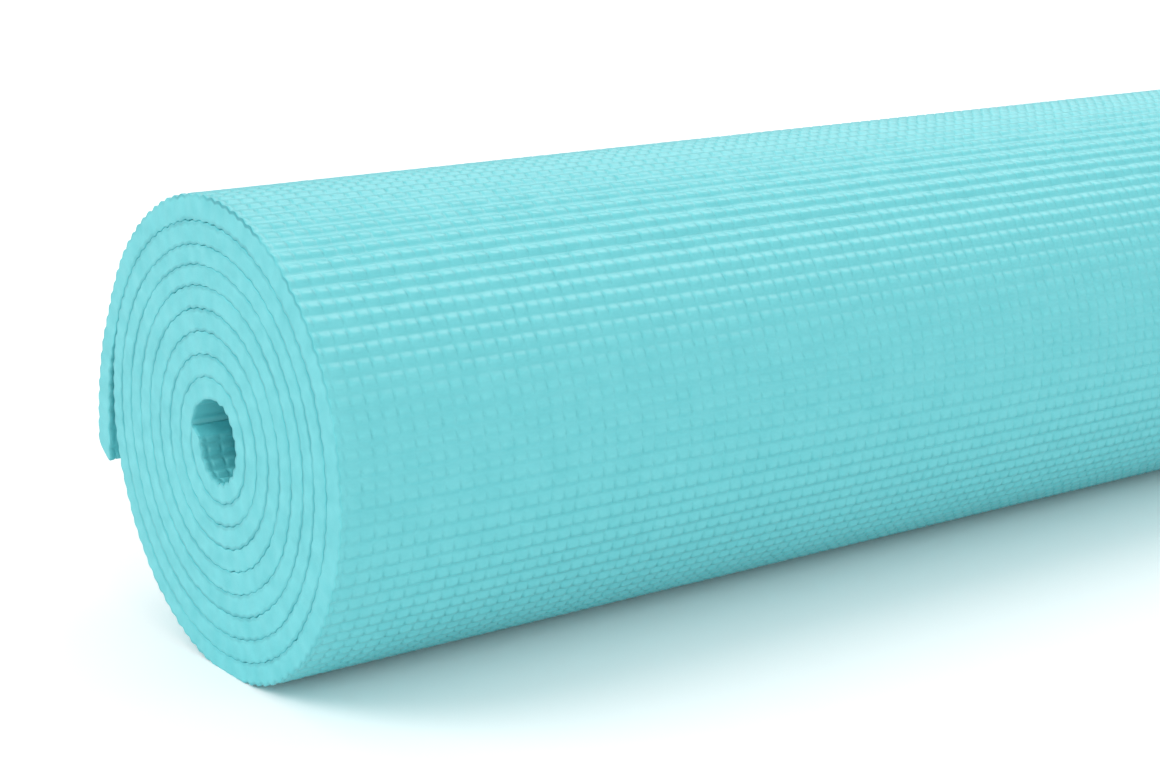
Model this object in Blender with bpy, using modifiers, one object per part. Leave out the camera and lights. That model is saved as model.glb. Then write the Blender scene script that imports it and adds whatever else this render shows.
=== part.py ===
"""Rolled yoga mat, built from the bonded plies of its foamed sheet.

The sheet is an open-weave scrim between two layers of soft foam. It is rolled up tightly
round an empty core and lies on its side. The last stretch of the outermost turn, the free
end, stands off the roll and can be peeled back about the line where it leaves the roll.

Units are metres. The roll's axis runs along X and +Z is up. The origin is on the floor,
under the roll's axis and halfway along the roll.
"""
import math

import bmesh
import bpy
import numpy as np

# The sheet, laid flat
SHEET_LENGTH = 1.730
SHEET_WIDTH = 0.610
FOAM_THICKNESS = 0.00175
SCRIM_THICKNESS = 0.00025
BOND_GAP = 0.0003

# The winding
CORE_RADIUS = 0.00635
TURN_GAP = 0.00047
FACETS_PER_TURN = 36
SHORTEST_FACET_SHARE = 0.3

# The free end, which hangs off the roll
TIP_ANGLE = math.radians(-12.3)
FREE_END_LENGTH = 0.037
FREE_END_LIFT = 0.0049
TIP_SLANT_SHARE = 0.5
PEEL_GAP = 0.0003

# The flat that the roll's weight presses into its foam
RESTING_FLAT_DEPTH = 0.0005
CUTTER_OVERRUN = 0.004

# Finishes
FOAM_COLOUR = (0.20, 0.69, 0.74, 1.0)
FOAM_ROUGHNESS = 0.75
SCRIM_COLOUR = (0.78, 0.82, 0.80, 1.0)
SCRIM_ROUGHNESS = 0.85
SMOOTH_ANGLE = math.radians(30.0)

# Sizes that follow from the ones above
SHEET_THICKNESS = 2.0 * (FOAM_THICKNESS + BOND_GAP) + SCRIM_THICKNESS
PITCH = SHEET_THICKNESS + TURN_GAP
FOAM_OFFSET = SCRIM_THICKNESS / 2.0 + BOND_GAP + FOAM_THICKNESS / 2.0
FULL_TURN = 2.0 * math.pi
FACET = FULL_TURN / FACETS_PER_TURN

# Each ply: its distance out from the middle of the sheet, its thickness and its finish
PLIES = {
    "outer_foam": (FOAM_OFFSET, FOAM_THICKNESS, "foam"),
    "scrim": (0.0, SCRIM_THICKNESS, "scrim"),
    "inner_foam": (-FOAM_OFFSET, FOAM_THICKNESS, "foam"),
}


def clear_scene():
    """Removes every object, so that the script gives the same result each run."""
    for item in list(bpy.data.objects):
        bpy.data.objects.remove(item, do_unlink=True)


def make_collection(name):
    """Returns a new collection linked to the scene."""
    collection = bpy.data.collections.new(name)
    bpy.context.scene.collection.children.link(collection)
    return collection


def make_material(name, colour, roughness):
    """Returns a matt material of one colour."""
    material = bpy.data.materials.new(name)
    material.use_nodes = True
    shader = material.node_tree.nodes["Principled BSDF"]
    shader.inputs["Base Color"].default_value = colour
    shader.inputs["Roughness"].default_value = roughness
    shader.inputs["Metallic"].default_value = 0.0
    material.diffuse_color = colour
    return material


def make_empty(name, location, collection):
    """Returns an empty that places the pieces parented to it."""
    empty = bpy.data.objects.new(name, None)
    empty.location = location
    collection.objects.link(empty)
    return empty


def winding():
    """Returns the mid-line's radius at the tip and the angle it turns through.

    The radius of the sheet's middle grows steadily, by one pitch a turn, from the inner end.
    The area that it sweeps is the length times the pitch, which gives the radius at the tip.
    """
    inner_radius = CORE_RADIUS + SHEET_THICKNESS / 2.0
    tip_radius = math.sqrt(inner_radius ** 2 + SHEET_LENGTH * PITCH / math.pi)
    total_angle = FULL_TURN * (tip_radius - inner_radius) / PITCH
    return tip_radius, total_angle


def facet_angles(peel_angle, total_angle):
    """Returns the angles of the sheet's bends, counted inwards from the tip.

    Every turn bends at the same places round the roll, which keeps the gap between turns
    even. The peel line falls in the middle of a facet, so that both sides of it are square
    to the same straight stretch.
    """
    inwards = np.arange(peel_angle + FACET / 2.0, total_angle, FACET)
    outwards = np.arange(peel_angle - FACET / 2.0, 0.0, -FACET)[::-1]
    bends = np.concatenate([outwards, inwards])
    margin = FACET * SHORTEST_FACET_SHARE
    bends = bends[(bends > margin) & (bends < total_angle - margin)]
    return np.concatenate([[0.0], bends, [total_angle]])


def sheet_midline():
    """Returns the middle of the sheet as Y and Z, from the inner end to the tip.

    Also returns each point's angle counted inwards from the tip, and the row of the last
    point before the peel line. The free end stands off the roll by the lift times the
    square of the share of its length that it has run.
    """
    tip_radius, total_angle = winding()
    peel_angle = FREE_END_LENGTH / tip_radius
    angles = facet_angles(peel_angle, total_angle)[::-1]
    run_share = np.clip(1.0 - angles / peel_angle, 0.0, 1.0)
    radius = tip_radius - PITCH * angles / FULL_TURN + FREE_END_LIFT * run_share ** 2
    turned = TIP_ANGLE + angles
    midline = np.stack([radius * np.cos(turned), radius * np.sin(turned)], axis=1)
    last_row = int(np.flatnonzero(angles > peel_angle)[-1])
    return midline, angles, last_row


def facet_directions(path):
    """Returns the unit direction of each straight stretch of a path."""
    steps = np.diff(path, axis=0)
    return steps / np.linalg.norm(steps, axis=1)[:, None]


def outward(directions):
    """Returns the unit directions that point out of the roll, square to a path's own.

    The sheet winds outwards from +Z towards +Y, so out of the roll is on its left.
    """
    return np.stack([-directions[:, 1], directions[:, 0]], axis=1)


def offset_path(path, distance):
    """Returns a path that runs beside another, mitred at each bend, so both stay parallel."""
    normals = outward(facet_directions(path))
    before = np.vstack([normals[:1], normals])
    after = np.vstack([normals, normals[-1:]])
    mitre = before + after
    mitre /= (mitre * before).sum(axis=1)[:, None]
    return path + distance * mitre


def least_turn_gap(path, angles):
    """Returns the least gap between the sheet and its own neighbouring turns.

    It is the least distance from a bend of the mid-line to a stretch at least half a turn
    away, less the sheet's thickness.
    """
    start = path[:-1]
    step = np.diff(path, axis=0)
    reach = path[:, None] - start[None]
    share = np.clip((reach * step).sum(axis=2) / (step ** 2).sum(axis=1), 0.0, 1.0)
    distance = np.linalg.norm(reach - share[..., None] * step, axis=2)
    middle = (angles[:-1] + angles[1:]) / 2.0
    apart = np.abs(angles[:, None] - middle[None]) > FULL_TURN / 2.0
    return distance[apart].min() - SHEET_THICKNESS


def ribbon_mesh(name, path):
    """Returns a path in the YZ plane drawn out along X to the sheet's width."""
    shape = bmesh.new()
    row = [shape.verts.new((-SHEET_WIDTH / 2.0, y, z)) for y, z in path]
    edges = [shape.edges.new(pair) for pair in zip(row, row[1:])]
    drawn = bmesh.ops.extrude_edge_only(shape, edges=edges)["geom"]
    far_row = [item for item in drawn if isinstance(item, bmesh.types.BMVert)]
    bmesh.ops.translate(shape, verts=far_row, vec=(SHEET_WIDTH, 0.0, 0.0))
    mesh = bpy.data.meshes.new(name)
    shape.to_mesh(mesh)
    shape.free()
    return mesh


def make_ply(name, path, thickness, parent, collection):
    """Returns one ply: a ribbon along a path, given its thickness to both sides alike."""
    ply = bpy.data.objects.new(name, ribbon_mesh(name, path))
    collection.objects.link(ply)
    ply.parent = parent
    wall = ply.modifiers.new("thickness", "SOLIDIFY")
    wall.thickness = thickness
    wall.offset = 0.0
    wall.use_even_offset = True
    return ply


def cut_resting_flat(ply, cutter):
    """Cuts the ply off at the floor, where the roll's weight flattens it."""
    cut = ply.modifiers.new("resting_flat", "BOOLEAN")
    cut.operation = "DIFFERENCE"
    cut.solver = "EXACT"
    cut.object = cutter


def make_floor_cutter(roll_radius, collection):
    """Returns a block whose top lies on the floor, wider and longer than the roll."""
    length = SHEET_WIDTH + 2.0 * CUTTER_OVERRUN
    width = 2.0 * roll_radius
    height = RESTING_FLAT_DEPTH + CUTTER_OVERRUN
    mesh = bpy.data.meshes.new("floor_cutter")
    shape = bmesh.new()
    bmesh.ops.create_cube(shape, size=1.0)
    bmesh.ops.scale(shape, verts=shape.verts, vec=(length, width, height))
    bmesh.ops.translate(shape, verts=shape.verts, vec=(0.0, 0.0, -height / 2.0))
    shape.to_mesh(mesh)
    shape.free()
    cutter = bpy.data.objects.new("floor_cutter", mesh)
    cutter.hide_render = True
    cutter.display_type = "WIRE"
    collection.objects.link(cutter)
    return cutter


def finish_ply(ply, material):
    """Fixes the ply's shape as it stands, shades its bends smooth and colours it."""
    bpy.context.view_layer.update()
    graph = bpy.context.evaluated_depsgraph_get()
    mesh = bpy.data.meshes.new_from_object(ply.evaluated_get(graph))
    mesh.name = ply.name
    mesh.shade_smooth()
    mesh.set_sharp_from_angle(angle=SMOOTH_ANGLE)
    mesh.materials.clear()
    mesh.materials.append(material)
    ply.modifiers.clear()
    ply.data = mesh


def build_mat():
    """Builds the roll and its free end, each of three plies."""
    parts = make_collection("yoga_mat")
    cutters = make_collection("cutters")
    finishes = {
        "foam": make_material("aqua_foam", FOAM_COLOUR, FOAM_ROUGHNESS),
        "scrim": make_material("polyester_scrim", SCRIM_COLOUR, SCRIM_ROUGHNESS),
    }

    midline, angles, last_row = sheet_midline()
    lowest = offset_path(midline, SHEET_THICKNESS / 2.0)[:, 1].min()
    axis_height = -lowest - RESTING_FLAT_DEPTH

    # The peel line is square to the facet that it crosses
    direction = facet_directions(midline)[last_row]
    normal = outward(direction[None])[0]
    peel_point = (midline[last_row] + midline[last_row + 1]) / 2.0
    hinge = peel_point + normal * SHEET_THICKNESS / 2.0

    roll = make_empty("roll_axis", (0.0, 0.0, axis_height), parts)
    free_end = make_empty("peel_line", (0.0, hinge[0], hinge[1] + axis_height), parts)
    cutter = make_floor_cutter(-lowest, cutters)

    for name, (offset, thickness, finish) in PLIES.items():
        path = offset_path(midline, offset)
        path[-1] -= facet_directions(path)[-1] * offset * TIP_SLANT_SHARE
        foot = peel_point + normal * offset
        roll_path = np.vstack([path[:last_row + 1], foot - direction * PEEL_GAP / 2.0])
        free_path = np.vstack([foot + direction * PEEL_GAP / 2.0, path[last_row + 1:]]) - hinge

        roll_ply = make_ply(name, roll_path, thickness, roll, parts)
        if name == "outer_foam":
            cut_resting_flat(roll_ply, cutter)
        finish_ply(roll_ply, finishes[finish])
        free_ply = make_ply("free_end_" + name, free_path, thickness, free_end, parts)
        finish_ply(free_ply, finishes[finish])

    print(f"Turns: {angles[0] / FULL_TURN:.3f}")
    print(f"Height of the roll's axis: {axis_height:.6f} m")
    print(f"Peel line: Y {hinge[0]:.6f} m, Z {hinge[1] + axis_height:.6f} m")
    print(f"Least gap between turns: {least_turn_gap(midline, angles) * 1000.0:.3f} mm")


clear_scene()
build_mat()
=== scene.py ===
"""Looks of a rolled yoga mat: one foamed sheet, embossed on both faces, wound on an empty core.

The sheet is worked out flat and then wound up. A place on the flat sheet is its distance
inwards from the outer tip, its place along the roll and its height over the sheet's middle.
Rows of raised cells run along the roll and columns run round it, and a row or column number
with a fraction says how far through its cell a line lies.

Units are metres. The roll's axis runs along X, +Z is up and the floor is at Z = 0.
"""
import logging
import math
from dataclasses import dataclass
from enum import Enum
from functools import cached_property

import bpy
import numpy as np
from mathutils import Euler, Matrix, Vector


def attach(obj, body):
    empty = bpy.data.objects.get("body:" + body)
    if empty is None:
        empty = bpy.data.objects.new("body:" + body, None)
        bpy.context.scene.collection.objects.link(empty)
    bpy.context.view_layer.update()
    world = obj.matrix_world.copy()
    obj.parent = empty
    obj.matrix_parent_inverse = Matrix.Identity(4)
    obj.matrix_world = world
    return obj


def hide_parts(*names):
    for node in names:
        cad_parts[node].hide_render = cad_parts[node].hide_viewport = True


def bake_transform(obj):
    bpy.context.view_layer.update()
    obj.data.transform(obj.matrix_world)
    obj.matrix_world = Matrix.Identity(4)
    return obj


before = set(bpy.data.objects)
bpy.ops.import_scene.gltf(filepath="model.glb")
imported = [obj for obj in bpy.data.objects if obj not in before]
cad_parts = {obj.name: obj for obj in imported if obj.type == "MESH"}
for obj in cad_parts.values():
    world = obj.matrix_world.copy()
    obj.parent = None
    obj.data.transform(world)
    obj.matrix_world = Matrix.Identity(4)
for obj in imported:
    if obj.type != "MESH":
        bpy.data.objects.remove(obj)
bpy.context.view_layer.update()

Array = np.ndarray
Socket = bpy.types.NodeSocket
Colour = tuple[float, float, float, float]

LOG = logging.getLogger("yoga_mat")
FULL_TURN = 2.0 * math.pi

# Sizes of the sheet that several classes share
SHEET_WIDTH = 0.610
FREE_LENGTH = 0.037
ROW_PITCH = 0.00325
COLUMNS_ACROSS = 188

# The column number at the near long edge, half way through a cell
FIRST_COLUMN = 0.5

# Where lines lie in a cell, and how near to a groove counts as in it, as shares of its pitch
ROW_SHARES = np.array([0.0, 0.17, 0.34, 0.52, 0.66, 0.83])
COLUMN_SHARES = np.array([0.0, 0.10, 0.22, 0.78, 0.90])
GROOVE_SHARE = 0.01

# The peel line, where the two pieces meet, runs along the middle of a row's flat crest
SEAM_SHARE = 0.58

# The sines in a slow wave, and each one's length as a share of the one before
NOISE_WAVES = 4
NOISE_RATIO = 0.43

# The mesh attributes with each vertex's flat place and its share of painted shade at the cut edges
PLACE_LAYER = "sheet_place"
EDGE_SHADE_LAYER = "edge_shade"

# The colour sockets of a Mix node
MIX_FIRST, MIX_SECOND, MIX_RESULT = 6, 7, 2


class Face(Enum):
    """The two embossed faces of the sheet, and the way that each points from its middle."""

    OUTER = 1
    INNER = -1


class Surface(Enum):
    """What a face of the mesh belongs to, numbered as the piece's material slots."""

    EMBOSSED = 0
    CUT = 1
    SPLIT = 2


def slow_noise(at: Array, wavelength: float, seed: int) -> Array:
    """Gives a smooth, irregular wave between -1 and 1.

    It is the mean of sines of random phase, each shorter than the last by one ratio.

    Args:
        at: Where the wave is read.
        wavelength: The longest sine's length, in the units of at.
        seed: Picks the phases.

    Returns:
        The wave's height at each place.
    """
    phases = np.random.default_rng(seed).uniform(0.0, FULL_TURN, NOISE_WAVES)
    lengths = wavelength * NOISE_RATIO ** np.arange(NOISE_WAVES)
    return np.sin(FULL_TURN * at[..., None] / lengths + phases).mean(axis=-1)


def smooth_step(share: Array) -> Array:
    """Gives 0 below 0, 1 above 1, and between them three squares less two cubes."""
    held = np.clip(share, 0.0, 1.0)
    return held * held * (3.0 - 2.0 * held)


def plateau(at: Array, marks: tuple[float, ...]) -> Array:
    """Gives 1 between the two middle marks and 0 outside the outer two, with smooth sides."""
    start, whole, fading, end = marks
    rise = smooth_step((at - start) / (whole - start))
    fall = smooth_step((at - fading) / (end - fading))
    return rise * (1.0 - fall)


def rounded_drop(distance: Array, radius: float) -> Array:
    """Gives how far a quarter round lies below a face, at a distance in from its edge."""
    share = np.clip(1.0 - distance / radius, 0.0, 1.0)
    return radius * (1.0 - np.sqrt(1.0 - share**2))


def add_object(name: str, data: bpy.types.ID) -> bpy.types.Object:
    """Adds an object to the scene, and gives it."""
    made = bpy.data.objects.new(name, data)
    bpy.context.scene.collection.objects.link(made)
    return made


@dataclass(frozen=True)
class Winding:
    """The spiral that the sheet's middle follows, seen along the roll's axis.

    Attributes:
        length: The flat sheet's length.
        pitch: How much the radius grows with each turn.
        inner_radius: The middle's radius at the inner end.
        tip_angle: The direction of the tip from the axis, counted from +Y towards +Z.
        free_length: The free end's length, from the tip to where it leaves the roll.
        free_lift: How far the tip stands off the spiral.
        axis_height: The roll's axis over the floor.
        press_depth: The height over the floor under which the foam gives way.
        lean: How far the inner turns lie off the axis, towards +Y.
        lean_radii: The radii between which the lean fades out.
        bulge: How far the roll bulges on the free end's side, towards +Y.
        sag: How far the turns under the outermost one have sunk in.
        sag_radii: The radii where the sag starts, is whole, starts to fade and ends.
        sag_angles: The directions where it does.
        spare_turns: How far the spiral goes on past the inner end, in turns.
        steps: How many steps the spiral's length is added up in.
    """

    length: float = 1.730
    pitch: float = 0.00482
    inner_radius: float = 0.008525
    tip_angle: float = math.radians(-12.3)
    free_length: float = FREE_LENGTH
    free_lift: float = 0.0049
    axis_height: float = 0.049994
    press_depth: float = 0.0003
    lean: float = 0.0006
    lean_radii: tuple[float, float] = (0.030, 0.050)
    bulge: float = 0.0006
    sag: float = 0.0011
    sag_radii: tuple[float, ...] = (0.034, 0.046, 0.0465, 0.0525)
    sag_angles: tuple[float, ...] = tuple(math.radians(angle) for angle in (10.0, 65.0, 190.0, 265.0))
    spare_turns: float = 0.125
    steps: int = 60000

    @cached_property
    def tip_radius(self) -> float:
        """The middle's radius at the tip: the spiral sweeps its length times its pitch."""
        return math.sqrt(self.inner_radius**2 + self.length * self.pitch / math.pi)

    @cached_property
    def peel_angle(self) -> float:
        """The angle that the free end covers."""
        return self.free_length / self.tip_radius

    def radius(self, angle: Array) -> tuple[Array, Array]:
        """Gives the middle's radius at an angle inwards from the tip, and its rate of change.

        The radius falls by one pitch a turn. The free end adds its lift times the square of
        the share of its length that is still to come.

        Args:
            angle: Angles in radians, which may run a little past the tip.

        Returns:
            The radius and its change for each radian.
        """
        free_share = np.maximum(1.0 - angle / self.peel_angle, 0.0)
        radius = self.tip_radius - self.pitch * angle / FULL_TURN + self.free_lift * free_share**2
        change = -self.pitch / FULL_TURN - 2.0 * self.free_lift * free_share / self.peel_angle
        return radius, change

    @cached_property
    def unrolled(self) -> tuple[Array, Array]:
        """Distances from the tip along the middle, and the angles where they are reached."""
        turns = (self.tip_radius - self.inner_radius) / self.pitch
        angle = np.linspace(-self.peel_angle, FULL_TURN * (turns + self.spare_turns), self.steps)
        radius, change = self.radius(angle)
        rate = np.hypot(radius, change)
        steps = (rate[1:] + rate[:-1]) / 2.0 * np.diff(angle)
        distance = np.concatenate([[0.0], np.cumsum(steps)])
        return distance - np.interp(0.0, angle, distance), angle

    def settle(self, y: Array, z: Array) -> tuple[Array, Array]:
        """Moves places as the loose roll has settled.

        The inner turns shift sideways, the less the further out. Above the axis, the turns
        under the outermost one sink towards it. The free end's side bulges.

        Args:
            y: Places sideways from the axis.
            z: Places above it.

        Returns:
            The settled places, both ways.
        """
        radius = np.hypot(y, z)
        direction = np.arctan2(z, y) % FULL_TURN
        sunk = self.sag * plateau(radius, self.sag_radii) * plateau(direction, self.sag_angles)
        scale = 1.0 - sunk / radius
        start, end = self.lean_radii
        lean = self.lean * (1.0 - smooth_step((radius - start) / (end - start)))
        bulge = self.bulge * smooth_step(y / self.tip_radius)
        return y * scale + lean + bulge, z * scale

    def wind(self, flat: Array) -> Array:
        """Winds places on the flat sheet into the roll.

        A place lies off the spiral along its normal, by the place's height. The roll then
        settles, and the floor presses what comes near it: below the press depth d, a height
        z becomes d times e to the power of (z - d) / d.

        Args:
            flat: Distance, place along the roll and height, in the last axis.

        Returns:
            X, Y and Z, in the last axis.
        """
        distance, across, height = np.moveaxis(flat, -1, 0)
        angle = np.interp(distance, *self.unrolled)
        radius, change = self.radius(angle)
        cosine = np.cos(self.tip_angle + angle)
        sine = np.sin(self.tip_angle + angle)
        stretch = height / np.hypot(radius, change)
        y = radius * cosine + stretch * (radius * cosine + change * sine)
        z = radius * sine + stretch * (radius * sine - change * cosine)
        y, z = self.settle(y, z)
        z = z + self.axis_height
        pressed = self.press_depth * np.exp(np.minimum(z / self.press_depth, 1.0) - 1.0)
        return np.stack([across, y, np.where(z < self.press_depth, pressed, z)], axis=-1)


@dataclass(frozen=True)
class Embossing:
    """The soft, nearly square cells that are pressed into one face of the sheet.

    Attributes:
        row_pitch: From one row to the next, along the sheet's length.
        column_pitch: From one column to the next, along the roll.
        row_phase: The row number at the sheet's tip.
        row_groove: Depth of the grooves between rows.
        column_groove: Depth of the shallower grooves between a row's cells.
        row_spread: How far the depth of the grooves between rows varies, as a share.
        column_spread: How far the depth of the others does.
        crest: Where a row's flat crest starts and ends, as shares of its pitch.
        column_power: How sharply the grooves between columns drop.
        row_wander: How far the grooves between rows stray, slowly.
        row_jitter: How far they stray from cell to cell.
        column_jitter: How far a cell's sides stray along its row.
        row_shift: How far a whole row is shifted along the roll.
        cell_drop: How far the lowest cells lie below the highest.
        wander_cells: The cells between two slow bends of a groove.
        table_size: The rows and columns of corners that the random tables hold.
        seed: Picks the random shares.
    """

    row_pitch: float = ROW_PITCH
    column_pitch: float = SHEET_WIDTH / COLUMNS_ACROSS
    row_phase: float = 1.0 + (SEAM_SHARE - FREE_LENGTH / ROW_PITCH) % 1.0
    row_groove: float = 0.00066
    column_groove: float = 0.00045
    row_spread: float = 1.0 / 6.0
    column_spread: float = 1.0 / 4.0
    crest: tuple[float, float] = (0.52, 0.64)
    column_power: float = 5.0
    row_wander: float = 0.00012
    row_jitter: float = 0.00006
    column_jitter: float = 0.00008
    row_shift: float = 0.00018
    cell_drop: float = 0.00004
    wander_cells: int = 14
    table_size: tuple[int, int] = (540, 192)
    seed: int = 1

    @cached_property
    def shares(self) -> dict[str, Array]:
        """Random shares between -1 and 1 for each cell's corner, one table for each use."""
        draw = np.random.default_rng(self.seed)
        rows, columns = self.table_size
        names = ("wander", "jitter", "side", "drop", "row_depth", "column_depth")
        tables = {name: draw.uniform(-1.0, 1.0, (rows, columns)) for name in names}
        tables["shift"] = draw.uniform(-1.0, 1.0, (rows, 1)) * np.ones((1, columns))
        return tables

    def between(self, name: str, row: Array, column: Array) -> Array:
        """Reads a table of corner values between its corners, by straight blends both ways."""
        table = self.shares[name]
        i, j = row.astype(int), column.astype(int)
        across = (column - j)[None]
        along = (row - i)[:, None]
        here = table[np.ix_(i, j)] * (1.0 - across) + table[np.ix_(i, j + 1)] * across
        after = table[np.ix_(i + 1, j)] * (1.0 - across) + table[np.ix_(i + 1, j + 1)] * across
        return here * (1.0 - along) + after * along

    def by_cell(self, name: str, row: Array, column: Array) -> Array:
        """Reads a table by whole cells, with the mean of the neighbours in the grooves."""
        table = self.shares[name]
        i, j = row.astype(int), column.astype(int)
        above = np.where(row - i < GROOVE_SHARE, i - 1, i)
        left = np.where(column - j < GROOVE_SHARE, j - 1, j)
        here = (table[np.ix_(i, j)] + table[np.ix_(above, j)]) / 2.0
        beside = (table[np.ix_(i, left)] + table[np.ix_(above, left)]) / 2.0
        return (here + beside) / 2.0

    def row_notch(self, row: Array) -> Array:
        """Gives how deep a place lies, from 0 on its row's flat crest to 1 in the grooves."""
        share = row % 1.0
        start, end = self.crest
        return 1.0 - smooth_step(share / start) + smooth_step((share - end) / (1.0 - end))

    def grid(
        self, row: Array, column: Array, edge_fade: Array, end_fade: Array
    ) -> tuple[Array, Array, Array]:
        """Works out the embossing along some rows and columns.

        The grooves between rows follow the row notch. Those between a row's cells go with a
        power of how near the line lies to the cell's side, and fade out in the others. Both
        stray a little, and some cells lie lower than others.

        Args:
            row: Row numbers, with fractions.
            column: Column numbers, with fractions.
            edge_fade: For each column, 0 at the long edges and 1 away from them.
            end_fade: For each row, 0 at a cut across the sheet and 1 away from it.

        Returns:
            Tables of the distance from the tip, the stray along the roll and the depth below
            the crests.
        """
        row_notch = self.row_notch(row)
        column_notch = np.abs(2.0 * (column % 1.0) - 1.0) ** self.column_power

        wander = self.between("wander", row, column / self.wander_cells)
        jitter = self.between("jitter", row, column)
        stray = (self.row_wander * wander + self.row_jitter * jitter) * end_fade[:, None]
        distance = ((row - self.row_phase) * self.row_pitch)[:, None] + stray

        side = self.column_jitter * self.by_cell("side", row, column)
        shift = self.row_shift * self.by_cell("shift", row, column)
        along = (side + shift) * edge_fade[None] * end_fade[:, None]

        row_stray = self.row_spread * self.between("row_depth", row, column)
        column_stray = self.column_spread * self.between("column_depth", row, column)
        on_crest = column_notch[None] * (1.0 - row_notch[:, None])
        depth = self.row_groove * (1.0 + row_stray) * row_notch[:, None]
        depth = depth + self.column_groove * (1.0 + column_stray) * on_crest
        depth = depth + self.cell_drop * (1.0 + self.by_cell("drop", row, column)) / 2.0
        return distance, along, depth


def stations(start: float, stop: float, shares: Array, room: float = 0.05) -> Array:
    """Lists a grid's lines between two places, with the places themselves.

    Args:
        start: The first row or column number.
        stop: The last one.
        shares: Where the lines lie in each cell.
        room: How near a line may come to the first or the last, in cells.

    Returns:
        The lines' numbers, in order.
    """
    cells = np.arange(math.floor(start), math.ceil(stop))
    lines = (cells[:, None] + shares[None]).ravel()
    inside = lines[(lines > start + room) & (lines < stop - room)]
    return np.concatenate([[start], inside, [stop]])


@dataclass(frozen=True)
class Strip:
    """A stretch of the sheet whose faces keep the same lines along it.

    Attributes:
        rows: The row numbers of the lines along the roll.
        outer_columns: The column numbers of the lines round it, on the outer face.
        inner_columns: Those on the inner face.
    """

    rows: Array
    outer_columns: Array
    inner_columns: Array


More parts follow.
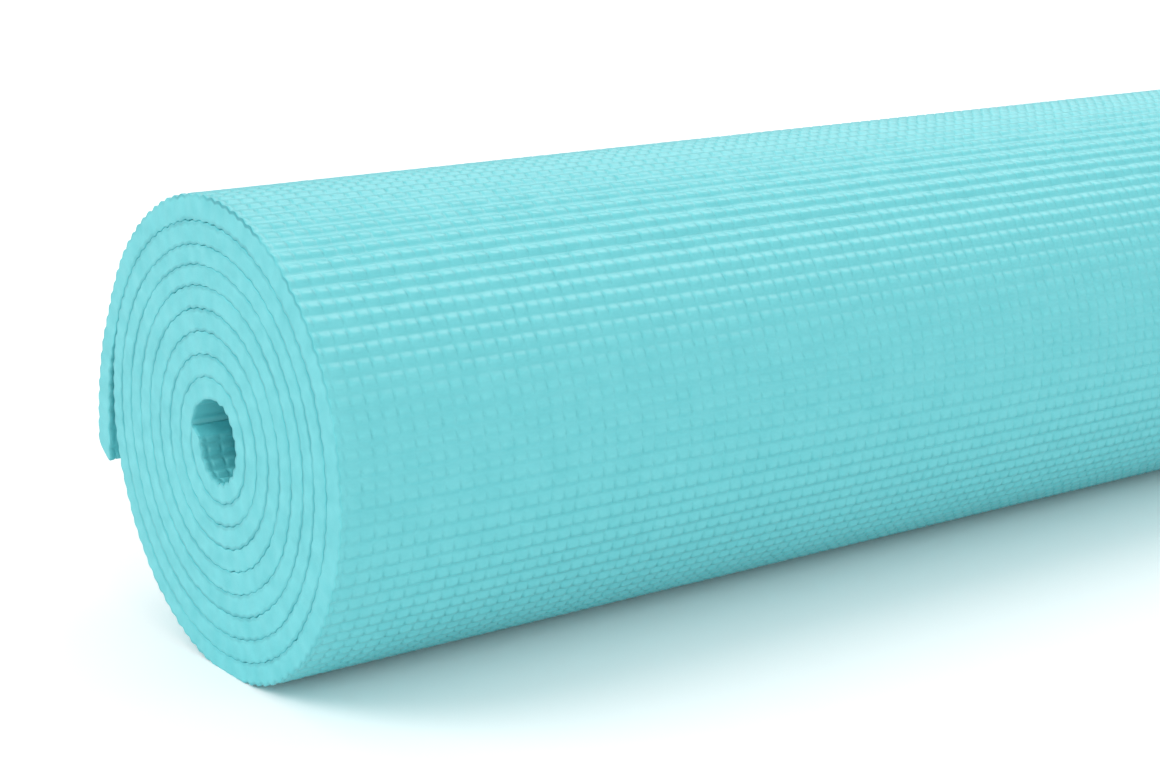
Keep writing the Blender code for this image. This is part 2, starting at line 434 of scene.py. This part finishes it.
@dataclass(frozen=True)
class Sheet:
    """The foamed sheet as it is wound: its faces, its long edges and its two ends.

    Attributes:
        winding: The spiral that it follows.
        outer: The outer face's embossing.
        inner: The inner face's embossing.
        width: The flat sheet's width, which is the roll's length.
        half_thickness: From the middle to the crests of an open face.
        squeeze: How far the crests of a face between two turns reach further out.
        hidden_relief: The share of its embossing that such a face keeps.
        open_change: The length over which a face changes from open to hidden.
        slack: How much thinner the foam is where two turns lie loosest, to each side.
        slack_length: The length of the slowest stray along the sheet.
        edge_round: The height of the long edges' rounding.
        edge_inset: How deep that rounding goes into the sheet.
        edge_stray: How far the long edges stray from one plane.
        edge_seed: Picks how they stray.
        edge_shares: Where the points of a long edge's cut face lie, as shares of its height.
        corner_shade: How much painted shade each point of a long edge's cut face takes: most
            at its corners, where the turns meet.
        rim_shade: How much more painted shade lies along the outer rim, as a dark line.
        rim_span: Where that starts, is whole, starts to fade and ends, from the tip.
        edge_relief: The share of its embossing that a face keeps at a long edge.
        edge_span: The columns over which the embossing grows to its full depth.
        open_round: The rounding of the tip's outer corner and the corner in the hole.
        end_round: The rounding of the other corners at the two ends.
        tip_lean: The slant of the tip's cut, and the height where that moves nothing.
        end_lean: The same for the inner end's cut.
        lean_reach: How far in from an end its lean fades out.
        swell: How much thicker the relaxed foam of the free end is, to each side.
        swell_starts: Where its outer and inner face start to swell, as shares of it.
        swell_span: The share of the free end over which the swelling grows.
    """

    winding: Winding
    outer: Embossing
    inner: Embossing
    width: float = SHEET_WIDTH
    half_thickness: float = 0.00231
    squeeze: float = 0.00008
    hidden_relief: float = 0.60
    open_change: float = 0.012
    slack: float = 0.00025
    slack_length: float = 0.07
    edge_round: float = 0.00038
    edge_inset: float = 0.00012
    edge_stray: float = 0.0002
    edge_seed: int = 11
    edge_shares: tuple[float, ...] = (0.0, 0.12, 0.5, 0.88, 1.0)
    # Painted shade at the corners of the cut faces, where the turns meet, and a dark outer rim
    corner_shade: tuple[float, ...] = (1.0, 1.0, 0.0, 0.0, 0.0, 1.0, 1.0)
    rim_shade: float = 2.0
    rim_span: tuple[float, ...] = (0.070, 0.088, 0.115, 0.140)
    edge_relief: float = 0.72
    edge_span: float = 1.5
    open_round: float = 0.0010
    end_round: float = 0.0005
    tip_lean: tuple[float, float] = (0.67, 0.0026)
    end_lean: tuple[float, float] = (0.39, -0.0041)
    lean_reach: float = 0.010
    swell: float = 0.0008
    swell_starts: tuple[float, float] = (0.02, 0.30)
    swell_span: float = 0.45

    def embossing(self, face: Face) -> Embossing:
        """Gives a face's embossing."""
        return self.outer if face is Face.OUTER else self.inner

    def row_at(self, distance: float | Array) -> float | Array:
        """Gives the row number at a distance from the tip."""
        return distance / self.outer.row_pitch + self.outer.row_phase

    @cached_property
    def last_column(self) -> float:
        """The column number at the far long edge."""
        return FIRST_COLUMN + self.width / self.outer.column_pitch

    def openness(self, distance: Array, face: Face) -> Array:
        """Gives 1 where a face is open and 0 where it lies against another turn.

        Args:
            distance: Distances from the tip.
            face: The face. The outer one is open for a turn and half of what the free end
                covers, and the inner one for half of the free end and in the core's hole.

        Returns:
            The share, with a smooth change.
        """
        winding = self.winding
        if face is Face.OUTER:
            covered = FULL_TURN * winding.tip_radius + winding.free_length / 2.0
            return 1.0 - smooth_step((distance - covered) / self.open_change)
        hole_turn = FULL_TURN * winding.inner_radius
        free_end = 1.0 - smooth_step((distance - winding.free_length / 2.0) / self.open_change)
        return free_end + smooth_step((distance - winding.length + hole_turn) / self.open_change)

    def imprint(self, distance: Array) -> Array:
        """Gives how far the inner face reaches into the rows of the turn under it.

        Args:
            distance: Distances from the tip.

        Returns:
            The depth of the outer face below its crests, one turn further in.
        """
        distances, angles = self.winding.unrolled
        under = np.interp(np.interp(distance, distances, angles) + FULL_TURN, angles, distances)
        return self.outer.row_groove * self.outer.row_notch(self.row_at(under))

    def crest(self, distance: Array, face: Face) -> Array:
        """Gives how far the crests of a face lie from the sheet's middle.

        Args:
            distance: Distances from the tip.
            face: The face.

        Returns:
            The half thickness, squeezed, swollen and slack. The slack goes with the fourth
            power of a slow wave, so that it is small nearly everywhere.
        """
        free_share = 1.0 - distance / self.winding.free_length
        start = self.swell_starts[0 if face is Face.OUTER else 1]
        swell = self.swell * smooth_step((free_share - start) / self.swell_span)
        wave = slow_noise(distance, self.slack_length, self.embossing(face).seed)
        squeeze = self.squeeze * (1.0 - self.openness(distance, face))
        return self.half_thickness + squeeze + swell - self.slack * ((1.0 + wave) / 2.0) ** 4

    def half_width(self, distance: Array, end: int) -> Array:
        """Gives how far a long edge lies from the roll's middle, where end is -1 or 1."""
        wave = slow_noise(distance, self.slack_length, self.edge_seed + end)
        return self.width / 2.0 - self.edge_stray * (1.0 + wave) / 2.0

    def face_grid(self, face: Face, row: Array, column: Array) -> Array:
        """Works out a face of the sheet along some rows and columns.

        Args:
            face: The face.
            row: Row numbers.
            column: Column numbers, from the near long edge to the far one.

        Returns:
            The flat places as a table of rows and columns.
        """
        pressed = self.embossing(face)
        from_edge = np.minimum(column - column[0], column[-1] - column)
        cuts = self.row_at(np.array([0.0, self.winding.free_length, self.winding.length]))
        from_cut = np.abs(row[:, None] - cuts[None]).min(axis=1)
        fades = np.minimum(from_edge, 1.0), np.minimum(from_cut, 1.0)
        distance, along, depth = pressed.grid(row, column, *fades)

        across = (column - column[0]) * pressed.column_pitch - self.width / 2.0 + along
        across[:, 0] = self.edge_inset - self.half_width(distance[:, 0], -1)
        across[:, -1] = self.half_width(distance[:, -1], 1) - self.edge_inset

        hidden = self.hidden_relief * (depth if face is Face.OUTER else -self.imprint(distance))
        depth = hidden + (depth - hidden) * self.openness(distance, face)
        whole = smooth_step(from_edge / self.edge_span)
        depth = depth * (self.edge_relief + (1.0 - self.edge_relief) * whole)
        to_inner_end = self.winding.length - distance
        tip_round, end_round = (self.open_round, self.end_round)[::face.value]
        rounding = rounded_drop(distance, tip_round) + rounded_drop(to_inner_end, end_round)
        height = face.value * (self.crest(distance, face) - depth - rounding)
        lean = 0.0
        for cut, (slant, pivot) in ((distance, self.tip_lean), (to_inner_end, self.end_lean)):
            lean = lean + slant * (height - pivot) * (1.0 - smooth_step(cut / self.lean_reach))
        return np.stack([distance + lean, across, height], axis=-1)

    def long_edge(self, upper: Array, lower: Array, end: int) -> Array:
        """Works out the cut face of a long edge, with its two rounded corners.

        Args:
            upper: The flat places along the outer face's last line.
            lower: Those along the inner face's last line.
            end: -1 at the near edge and 1 at the far one.

        Returns:
            A table of places: for each row, the points from the outer face to the inner.
        """
        radius = self.edge_round
        bevel = 1.0 - math.sqrt(0.5)
        top, bottom = upper[:, 2], lower[:, 2]
        share = np.array(self.edge_shares)
        height = (top - radius)[:, None] - (top - bottom - 2.0 * radius)[:, None] * share
        height = np.column_stack([top - bevel * radius, height, bottom + bevel * radius])
        flat_part = (height - bottom[:, None]) / (top - bottom)[:, None]
        distance = lower[:, :1] + (upper[:, :1] - lower[:, :1]) * flat_part
        inset = np.zeros(len(share) + 2)
        inset[[0, -1]] = bevel * self.edge_inset
        across = end * (self.half_width(distance, end) - inset)
        return np.stack([distance, across, height], axis=-1)

    def ring(self, strip: Strip) -> tuple[Array, Array]:
        """Works out the whole way round the sheet's section, for each row of a strip.

        It goes along the outer face, down the far edge, back along the inner face and up
        the near edge.

        Args:
            strip: The strip's rows and columns.

        Returns:
            The flat places, a ring for each row, and each one's share of painted shade.
        """
        outer = self.face_grid(Face.OUTER, strip.rows, strip.outer_columns)
        inner = self.face_grid(Face.INNER, strip.rows, strip.inner_columns)
        far = self.long_edge(outer[:, -1], inner[:, -1], 1)
        near = self.long_edge(outer[:, 0], inner[:, 0], -1)
        places = np.concatenate([outer, far, inner[:, ::-1], near[:, ::-1]], axis=1)
        # Painted shade on the cut faces, towards the corners where turns meet, darker on the outer rim
        rim = self.rim_shade * plateau(outer[:, :1, 0], self.rim_span) * (far[:, :, 2] > 0.0)
        edge = np.array(self.corner_shade) * (1.0 + rim)
        edge_shade = [np.ones(outer.shape[:2]), edge, np.ones(inner.shape[:2]), edge[:, ::-1]]
        return places, np.concatenate(edge_shade, axis=1)


@dataclass(frozen=True)
class Ring:
    """The vertices round one row of a strip, in the order that Sheet.ring gives."""

    vertices: Array
    strip: Strip

    def spans(self) -> list[tuple[int, int, Surface]]:
        """Gives where the outer face, far edge, inner face and near edge start and stop."""
        count = len(self.vertices)
        outer, inner = len(self.strip.outer_columns), len(self.strip.inner_columns)
        edge = (count - outer - inner) // 2
        marks = [0, outer - 1, outer + edge, outer + edge + inner - 1, count]
        return list(zip(marks, marks[1:], [Surface.EMBOSSED, Surface.CUT] * 2))

    def sides(self) -> list[tuple[Array, Array, Surface]]:
        """Gives the four sides, which share their corners: vertices, places and surface."""
        closed = np.append(self.vertices, self.vertices[0])
        spans = self.spans()
        steps = np.arange(spans[1][1] - spans[1][0] + 1.0)
        places = [self.strip.outer_columns, steps, -self.strip.inner_columns[::-1], steps]
        return [(closed[start:stop + 1], at, kind) for (start, stop, kind), at in zip(spans, places)]


def quads(lines: Array) -> Array:
    """Gives the quads between the lines of vertices in a table's rows."""
    corners = lines[:-1, :-1], lines[1:, :-1], lines[1:, 1:], lines[:-1, 1:]
    return np.stack(corners, axis=-1)


def zipped(first: Array, first_at: Array, second: Array, second_at: Array) -> Array:
    """Gives the triangles between two lines of vertices that differ in number.

    Each stretch of one line joins the vertex of the other that lies nearest its middle.

    Args:
        first: Vertices of the first line.
        first_at: Their places along it, rising.
        second: Vertices of the second line.
        second_at: Their places along it, rising.

    Returns:
        The triangles, turned as quads between the lines would be.
    """
    first_middle = (first_at[:-1] + first_at[1:]) / 2.0
    second_middle = (second_at[:-1] + second_at[1:]) / 2.0
    across = np.searchsorted(second_middle, first_middle)
    back = np.searchsorted(across, np.arange(1, len(second)))
    return np.concatenate([
        np.stack([first[:-1], second[across], first[1:]], axis=1),
        np.stack([first[back], second[:-1], second[1:]], axis=1),
    ])


class SheetMesh:
    """The closed mesh of one stretch of the sheet, gathered strip by strip."""

    def __init__(self, sheet: Sheet) -> None:
        """Starts an empty mesh of a sheet."""
        self.sheet = sheet
        self.places: list[Array] = []
        self.edge_shades: list[Array] = []
        self.faces: list[tuple[Array, Surface]] = []
        self.count = 0

    def add_places(self, places: Array, edge_shade: Array) -> Array:
        """Adds flat places with their share of painted shade, and gives their vertex numbers."""
        numbers = np.arange(self.count, self.count + edge_shade.size).reshape(edge_shade.shape)
        self.places.append(places.reshape(-1, 3))
        self.edge_shades.append(edge_shade.ravel())
        self.count += edge_shade.size
        return numbers

    def add_faces(self, corners: Array, surface: Surface) -> None:
        """Adds faces with as many corners each, of one surface."""
        self.faces.append((corners.reshape(-1, corners.shape[-1]), surface))

    def bridge(self, ring: Ring, after: Ring) -> None:
        """Adds the faces between a ring and the next one, with fans where lines end."""
        for (first, first_at, surface), (second, second_at, _) in zip(ring.sides(), after.sides()):
            if len(first) == len(second):
                self.add_faces(quads(np.stack([first, second])), surface)
            else:
                self.add_faces(zipped(first, first_at, second, second_at), surface)

    def add_strip(self, strip: Strip) -> tuple[Ring, Ring]:
        """Adds a strip of the sheet, and gives its first and last ring."""
        numbers = self.add_places(*self.sheet.ring(strip))
        first, last = (Ring(line, strip) for line in numbers[[0, -1]])
        faces = quads(np.concatenate([numbers, numbers[:, :1]], axis=1))
        for start, stop, surface in first.spans():
            self.add_faces(faces[:, start:stop], surface)
        return first, last

    def add_cap(self, ring: Ring, surface: Surface, faces_tip: bool) -> None:
        """Closes the sheet at a ring.

        A grid runs straight from the outer line to the inner, and along the roll between
        the points of the two long edges.

        Args:
            ring: The ring, with as many lines on both faces.
            surface: What the cap belongs to.
            faces_tip: True where the cap looks along the sheet towards its tip.
        """
        outer, far, inner, near = (side[0] for side in ring.sides())
        inner, near = inner[::-1], near[::-1]
        flat = np.concatenate(self.places)
        top, bottom = flat[outer[-1], 2], flat[inner[-1], 2]
        share = ((flat[far, 2] - bottom) / (top - bottom))[1:-1, None, None]
        inside = flat[inner[1:-1]] + (flat[outer[1:-1]] - flat[inner[1:-1]]) * share
        numbers = self.add_places(inside, np.zeros(inside.shape[:2]))
        lines = np.vstack([outer, np.column_stack([near[1:-1], numbers, far[1:-1]]), inner])
        faces = quads(lines)
        self.add_faces(faces[..., ::-1] if faces_tip else faces, surface)

    def add_strips(self, strips: list[Strip], caps: tuple[Surface, Surface]) -> None:
        """Adds strips that follow each other inwards, and closes both ends."""
        ends = [self.add_strip(strip) for strip in strips]
        for (_, last), (first, _) in zip(ends, ends[1:]):
            self.bridge(last, first)
        self.add_cap(ends[0][0], caps[0], faces_tip=True)
        self.add_cap(ends[-1][1], caps[1], faces_tip=False)

    def to_object(self, name: str, finishes: list[bpy.types.Material]) -> bpy.types.Object:
        """Winds the sheet up and makes a mesh object of it.

        The split faces have sharp edges, so that the shading runs on from piece to piece.

        Args:
            name: The object's name.
            finishes: A material for each surface, in the order of Surface.

        Returns:
            The object, with its flat places and its share of painted shade as attributes.
        """
        flat = np.concatenate(self.places)
        points = self.sheet.winding.wind(flat)
        corners = np.concatenate([faces.ravel() for faces, _ in self.faces])
        sizes = np.concatenate([np.full(len(faces), faces.shape[1]) for faces, _ in self.faces])
        kinds = np.concatenate([np.full(len(faces), surface.value) for faces, surface in self.faces])

        mesh = bpy.data.meshes.new(name)
        mesh.vertices.add(len(points))
        mesh.vertices.foreach_set("co", points.astype(np.float32).ravel())
        mesh.loops.add(len(corners))
        mesh.loops.foreach_set("vertex_index", corners.astype(np.int32))
        mesh.polygons.add(len(sizes))
        mesh.polygons.foreach_set("loop_start", (np.cumsum(sizes) - sizes).astype(np.int32))
        mesh.polygons.foreach_set("use_smooth", kinds != Surface.SPLIT.value)
        mesh.polygons.foreach_set("material_index", kinds.astype(np.int32))
        for finish in finishes:
            mesh.materials.append(finish)
        place = mesh.attributes.new(PLACE_LAYER, "FLOAT_VECTOR", "POINT")
        place.data.foreach_set("vector", flat.astype(np.float32).ravel())
        # The share of painted shade at the cut edges, which the cut's material reads
        edge_shade = mesh.attributes.new(EDGE_SHADE_LAYER, "FLOAT", "POINT")
        edge_shade.data.foreach_set("value", np.concatenate(self.edge_shades).astype(np.float32))
        mesh.update(calc_edges=True)

        edges = np.empty(len(corners), np.int32)
        mesh.loops.foreach_get("edge_index", edges)
        sharp = np.zeros(len(mesh.edges), bool)
        sharp[edges[np.repeat(kinds, sizes) == Surface.SPLIT.value]] = True
        mesh.edges.foreach_set("use_edge_sharp", sharp)
        return add_object(name, mesh)


class Nodes:
    """The nodes of a material or a world, added one by one."""

    def __init__(self, tree: bpy.types.NodeTree) -> None:
        """Starts from an empty tree."""
        self.tree = tree
        tree.nodes.clear()

    def add(
        self, kind: str, inputs: dict[str | int, object] | None = None, **settings: object
    ) -> bpy.types.Node:
        """Adds a node.

        Args:
            kind: The node's type, without its ShaderNode.
            inputs: For each input, a value or the output that feeds it.
            settings: The node's own settings.

        Returns:
            The node.
        """
        node = self.tree.nodes.new("ShaderNode" + kind)
        for name, value in settings.items():
            setattr(node, name, value)
        for name, value in (inputs or {}).items():
            if isinstance(value, Socket):
                self.tree.links.new(value, node.inputs[name])
            else:
                node.inputs[name].default_value = value
        return node

    def math(self, operation: str, first: object, second: object) -> Socket:
        """Adds a sum, a product or the like, and gives its result."""
        return self.add("Math", {0: first, 1: second}, operation=operation).outputs[0]

    def mix(self, share: object, first: object, second: object) -> Socket:
        """Adds a mix of two colours by the second one's share, and gives its result."""
        inputs = {"Factor": share, MIX_FIRST: first, MIX_SECOND: second}
        return self.add("Mix", inputs, data_type="RGBA").outputs[MIX_RESULT]

    def noise(self, place: object, size: float, octaves: float) -> Socket:
        """Adds a noise with spots of a size and finer octaves, and gives its value."""
        inputs = {"Vector": place, "Scale": 1.0 / size, "Detail": octaves}
        return self.add("TexNoise", inputs).outputs["Fac"]


@dataclass(frozen=True)
class FoamFinish:
    """Matt foamed vinyl, with a fine grain and a faint mottle that follow the sheet.

    On a cut it takes painted shade towards the corners where the turns meet, and on the rim.

    Attributes:
        name: The material's name.
        light: Its colour where it is palest.
        deep: Its colour in the mottle's darkest spots.
        edge_shade: The colour of the painted shade on a cut, where the turns meet, and on the outer
            rim.
        edge_shade_weight: How strongly the painted shade shows where it shows most.
        edge_shade_noise: The size and octaves of the patches where the painted shade shows more or
            less.
        edge_shade_range: The noise's values where the painted shade shows least and most.
        mottle_noise: The size and octaves of the mottle's spots.
        mottle_range: The noise's values at the palest and at the deepest colour.
        grain_noise: The size and octaves of the grain.
        grain_height: Its height.
        roughness: The roughness of the surface.
    """

    name: str
    light: Colour
    deep: Colour
    # The painted shade's colour, weight and patches
    edge_shade: Colour = (0.06, 0.42, 0.47, 1.0)
    edge_shade_weight: float = 0.0
    edge_shade_noise: tuple[float, float] = (0.012, 4.0)
    edge_shade_range: tuple[float, float] = (0.35, 0.65)
    mottle_noise: tuple[float, float] = (0.004, 3.0)
    mottle_range: tuple[float, float] = (0.3, 0.7)
    grain_noise: tuple[float, float] = (0.00035, 2.0)
    grain_height: float = 0.00004
    roughness: float = 0.36

    def build(self) -> bpy.types.Material:
        """Makes the material."""
        material = bpy.data.materials.new(self.name)
        material.use_nodes = True
        nodes = Nodes(material.node_tree)
        place = nodes.add("Attribute", attribute_name=PLACE_LAYER).outputs["Vector"]
        mottle = nodes.noise(place, *self.mottle_noise)
        ramp = nodes.add("ValToRGB", {"Fac": mottle})
        stops = zip(ramp.color_ramp.elements, self.mottle_range, (self.light, self.deep))
        for stop, position, tone in stops:
            stop.position = position
            stop.color = tone

        # Painted shade: darker towards the cut's corners where the turns meet, and on the outer rim
        edge_shade = nodes.add("Attribute", attribute_name=EDGE_SHADE_LAYER).outputs["Fac"]
        least, most = self.edge_shade_range
        weight = nodes.add("MapRange", {
            "Value": nodes.noise(place, *self.edge_shade_noise),
            "From Min": least,
            "From Max": most,
            "To Max": self.edge_shade_weight,
        })
        share = nodes.math("MULTIPLY", edge_shade, weight.outputs["Result"])

        grain = nodes.noise(place, *self.grain_noise)
        bump = nodes.add("Bump", {"Height": grain, "Distance": self.grain_height})
        shader = nodes.add("BsdfPrincipled", {
            "Base Color": nodes.mix(share, ramp.outputs["Color"], self.edge_shade),
            "Roughness": self.roughness,
            "Normal": bump.outputs["Normal"],
        })
        nodes.add("OutputMaterial", {"Surface": shader.outputs["BSDF"]})
        return material


@dataclass(frozen=True)
class YogaMat:
    """The rolled mat: the wound roll, and the free end that lifts away from it.

    Attributes:
        sheet: The sheet that both are stretches of.
        skin: The finish of its embossed faces.
        cut: The finish of its cut edges and ends.
        shown_length: How much of the outer face is seen, from the tip inwards.
        hole_length: How much of the inner face is seen in the core's hole.
        hole_cells: The cells along the roll that are seen into the hole from each end.
        hidden_lines: The lines along a face that is out of sight.
        bend_reach: Not used; the length over which the free end was to bend.
        end_line_shares: Where extra lines lie at a rounded end, as shares of its rounding.
    """

    sheet: Sheet
    skin: FoamFinish
    cut: FoamFinish
    shown_length: float = 0.385
    hole_length: float = 0.065
    hole_cells: int = 31
    hidden_lines: int = 5
    bend_reach: float = 0.040
    end_line_shares: tuple[float, ...] = (0.0, 0.13, 0.45, 1.0)

    def columns(self) -> dict[str, Array]:
        """Gives the lines along a face that is seen, one in the hole and one out of sight."""
        first, last, cells = FIRST_COLUMN, self.sheet.last_column, self.hole_cells
        near = stations(first, first + cells, COLUMN_SHARES)
        middle = np.linspace(first + cells, last - cells, cells)[1:-1]
        far = stations(last - cells, last, COLUMN_SHARES)
        return {
            "shown": stations(first, last, COLUMN_SHARES),
            "hole": np.concatenate([near, middle, far]),
            "hidden": np.linspace(first, last, self.hidden_lines),
        }

    def free_end_strips(self) -> list[Strip]:
        """Gives the free end: one strip from the tip to the peel line, seen on both faces."""
        sheet, shown = self.sheet, self.columns()["shown"]
        rounding = sheet.row_at(np.array(self.end_line_shares) * sheet.open_round)
        rows = stations(rounding[-1], sheet.row_at(sheet.winding.free_length), ROW_SHARES)
        return [Strip(np.concatenate([rounding[:-1], rows]), shown, shown)]

    def roll_strips(self) -> list[Strip]:
        """Gives the roll, in strips with as few lines as each needs.

        The first and last strip, which are closed, have the same lines on both faces. The
        others are the turn that is seen, the turns out of sight and the hole's turn.
        """
        sheet, lines = self.sheet, self.columns()
        shown, hole, hidden = lines["shown"], lines["hole"], lines["hidden"]
        length = sheet.winding.length
        rounding = sheet.row_at(length - np.array(self.end_line_shares[::-1]) * sheet.open_round)
        start = sheet.row_at(sheet.winding.free_length)
        hidden_from = sheet.row_at(self.shown_length)
        hole_from = sheet.row_at(length - self.hole_length)
        seen = stations(start, hidden_from, ROW_SHARES)
        unseen = stations(hidden_from, hole_from, ROW_SHARES)[1:]
        inmost = stations(hole_from, rounding[0], ROW_SHARES)[1:]
        return [
            Strip(seen[:2], shown, shown),
            Strip(seen[2:], shown, hidden),
            Strip(unseen, hidden, hidden),
            Strip(np.concatenate([inmost, rounding[1:-1]]), hidden, hole),
            Strip(rounding[-1:], hole, hole),
        ]

    def piece(self, name: str, strips: list[Strip], caps: tuple[Surface, Surface]) -> bpy.types.Object:
        """Makes one piece of the mat from its strips."""
        mesh = SheetMesh(self.sheet)
        mesh.add_strips(strips, caps)
        skin, cut = bpy.data.materials[self.skin.name], bpy.data.materials[self.cut.name]
        piece = mesh.to_object(name, [skin, cut, skin])
        LOG.info("%s: %d faces", name, len(piece.data.polygons))
        return piece

    def build(self) -> None:
        """Makes the roll and the free end, and joins the roll to its body."""
        self.skin.build()
        self.cut.build()
        roll = self.piece("mat_roll", self.roll_strips(), (Surface.SPLIT, Surface.CUT))
        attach(roll, "roll")
        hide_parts("outer_foam", "scrim", "inner_foam")

        free_end = self.piece("mat_free_end", self.free_end_strips(), (Surface.CUT, Surface.SPLIT))
        winding, half = self.sheet.winding, self.sheet.half_thickness
        peel = np.array([winding.free_length, 0.0, half])
        start = winding.wind(peel)
        foot = winding.wind(peel * [1.0, 1.0, -1.0])
        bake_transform(free_end)
        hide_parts("free_end_outer_foam", "free_end_scrim", "free_end_inner_foam")


@dataclass(frozen=True)
class SoftLight:
    """A large far light of the studio.

    Attributes:
        name: The lamp's name.
        level: The light on a surface that faces it. At 1 that shows its own colour.
        direction: Where it stands, seen from the object.
        spread: How wide it looks in degrees, which softens its shadows.
        shine: True where it gives surfaces their shine, and False where it lights them.
    """

    name: str
    level: float
    direction: tuple[float, float, float]
    spread: float
    shine: bool = False

    def build(self) -> None:
        """Hangs the light."""
        lamp = bpy.data.lights.new(self.name, "SUN")
        lamp.energy = self.level * math.pi
        lamp.angle = math.radians(self.spread)
        light = add_object(self.name, lamp)
        light.rotation_euler = Vector(self.direction).to_track_quat("Z", "Y").to_euler()
        light.visible_diffuse = not self.shine
        light.visible_glossy = self.shine


@dataclass(frozen=True)
class Studio:
    """A plain white studio: floor, soft lights, even sky and camera.

    Attributes:
        lights: The soft lights.
        floor_size: The floor's width and depth.
        floor_colour: Its colour in the light that it throws back.
        floor_shown: Its colour as the camera sees it.
        sky_level: The light that the sky gives.
        camera_place: Where the camera stands.
        camera_heading: The way it looks, counted from +Y towards +X.
        camera_dip: How far it looks down.
        camera_lens: Its lens, in millimetres, over a sensor 36 mm wide.
    """

    lights: tuple[SoftLight, ...]
    floor_size: float = 60.0
    floor_colour: Colour = (0.84, 0.84, 0.84, 1.0)
    floor_shown: Colour = (1.18, 1.18, 1.18, 1.0)
    sky_level: float = 0.78
    camera_place: tuple[float, float, float] = (-0.5209, -0.4295, 0.1828)
    camera_heading: float = math.radians(35.813)
    camera_dip: float = math.radians(14.169)
    camera_lens: float = 73.06

    def build_floor(self) -> None:
        """Lays a matt white floor at Z = 0."""
        material = bpy.data.materials.new("white_floor")
        material.use_nodes = True
        nodes = Nodes(material.node_tree)
        seen = nodes.add("LightPath").outputs["Is Camera Ray"]
        tone = nodes.mix(seen, self.floor_colour, self.floor_shown)
        shader = nodes.add("BsdfDiffuse", {"Color": tone})
        nodes.add("OutputMaterial", {"Surface": shader.outputs["BSDF"]})
        half = self.floor_size / 2.0
        mesh = bpy.data.meshes.new("floor")
        corners = [(-half, -half, 0.0), (half, -half, 0.0), (half, half, 0.0), (-half, half, 0.0)]
        mesh.from_pydata(corners, [], [(0, 1, 2, 3)])
        mesh.materials.append(material)
        floor = add_object("floor", mesh)

    def build_sky(self) -> None:
        """Makes an even sky, which shows as pure white wherever it is seen."""
        world = bpy.data.worlds.new("white_sky")
        world.use_nodes = True
        nodes = Nodes(world.node_tree)
        ray = nodes.add("LightPath").outputs
        seen = nodes.math("MAXIMUM", ray["Is Camera Ray"], ray["Is Glossy Ray"])
        seen = nodes.math("MAXIMUM", seen, ray["Is Transmission Ray"])
        level = nodes.math("MAXIMUM", seen, self.sky_level)
        sky = nodes.add("Background", {"Strength": level})
        nodes.add("OutputWorld", {"Surface": sky.outputs["Background"]})
        bpy.context.scene.world = world

    def build_camera(self) -> None:
        """Sets up the camera at the angle of the photograph."""
        lens = bpy.data.cameras.new("camera")
        lens.lens = self.camera_lens
        camera = add_object("camera", lens)
        camera.location = self.camera_place
        camera.rotation_euler = Euler((math.pi / 2.0 - self.camera_dip, 0.0, -self.camera_heading))
        bpy.context.scene.camera = camera

    def build(self) -> None:
        """Sets the whole studio up."""
        self.build_floor()
        self.build_sky()
        for light in self.lights:
            light.build()
        self.build_camera()
        bpy.context.scene.view_settings.view_transform = "Standard"
        LOG.info("studio: floor, sky, %d lights and camera", len(self.lights))


def main() -> None:
    """Builds the mat and the studio round it."""
    logging.basicConfig(level=logging.INFO, format="%(message)s")
    inner = Embossing(seed=2, row_groove=0.00075)
    sheet = Sheet(winding=Winding(), outer=Embossing(seed=1), inner=inner)
    skin = FoamFinish(
        "embossed_foam",
        light=(0.182, 0.690, 0.735, 1.0),
        deep=(0.160, 0.660, 0.705, 1.0),
    )
    cut = FoamFinish(
        "cut_foam",
        light=(0.185, 0.725, 0.775, 1.0),
        deep=(0.136, 0.645, 0.695, 1.0),
        # The cut takes painted shade where the turns meet and along the outer rim
        edge_shade_weight=0.55,
    )
    YogaMat(sheet, skin, cut).build()
    lights = (
        SoftLight("overhead_shine", level=0.36, direction=(0.60, 0.22, 1.0), spread=46.0, shine=True),
        SoftLight("overhead_light", level=0.09, direction=(0.30, 0.40, 1.0), spread=60.0),
        SoftLight("left_light", level=0.35, direction=(-0.72, 0.25, 0.65), spread=36.0),
        SoftLight("front_light", level=0.42, direction=(0.0, -0.90, 0.06), spread=90.0),
    )
    Studio(lights).build()


if __name__ == "__main__":
    main()
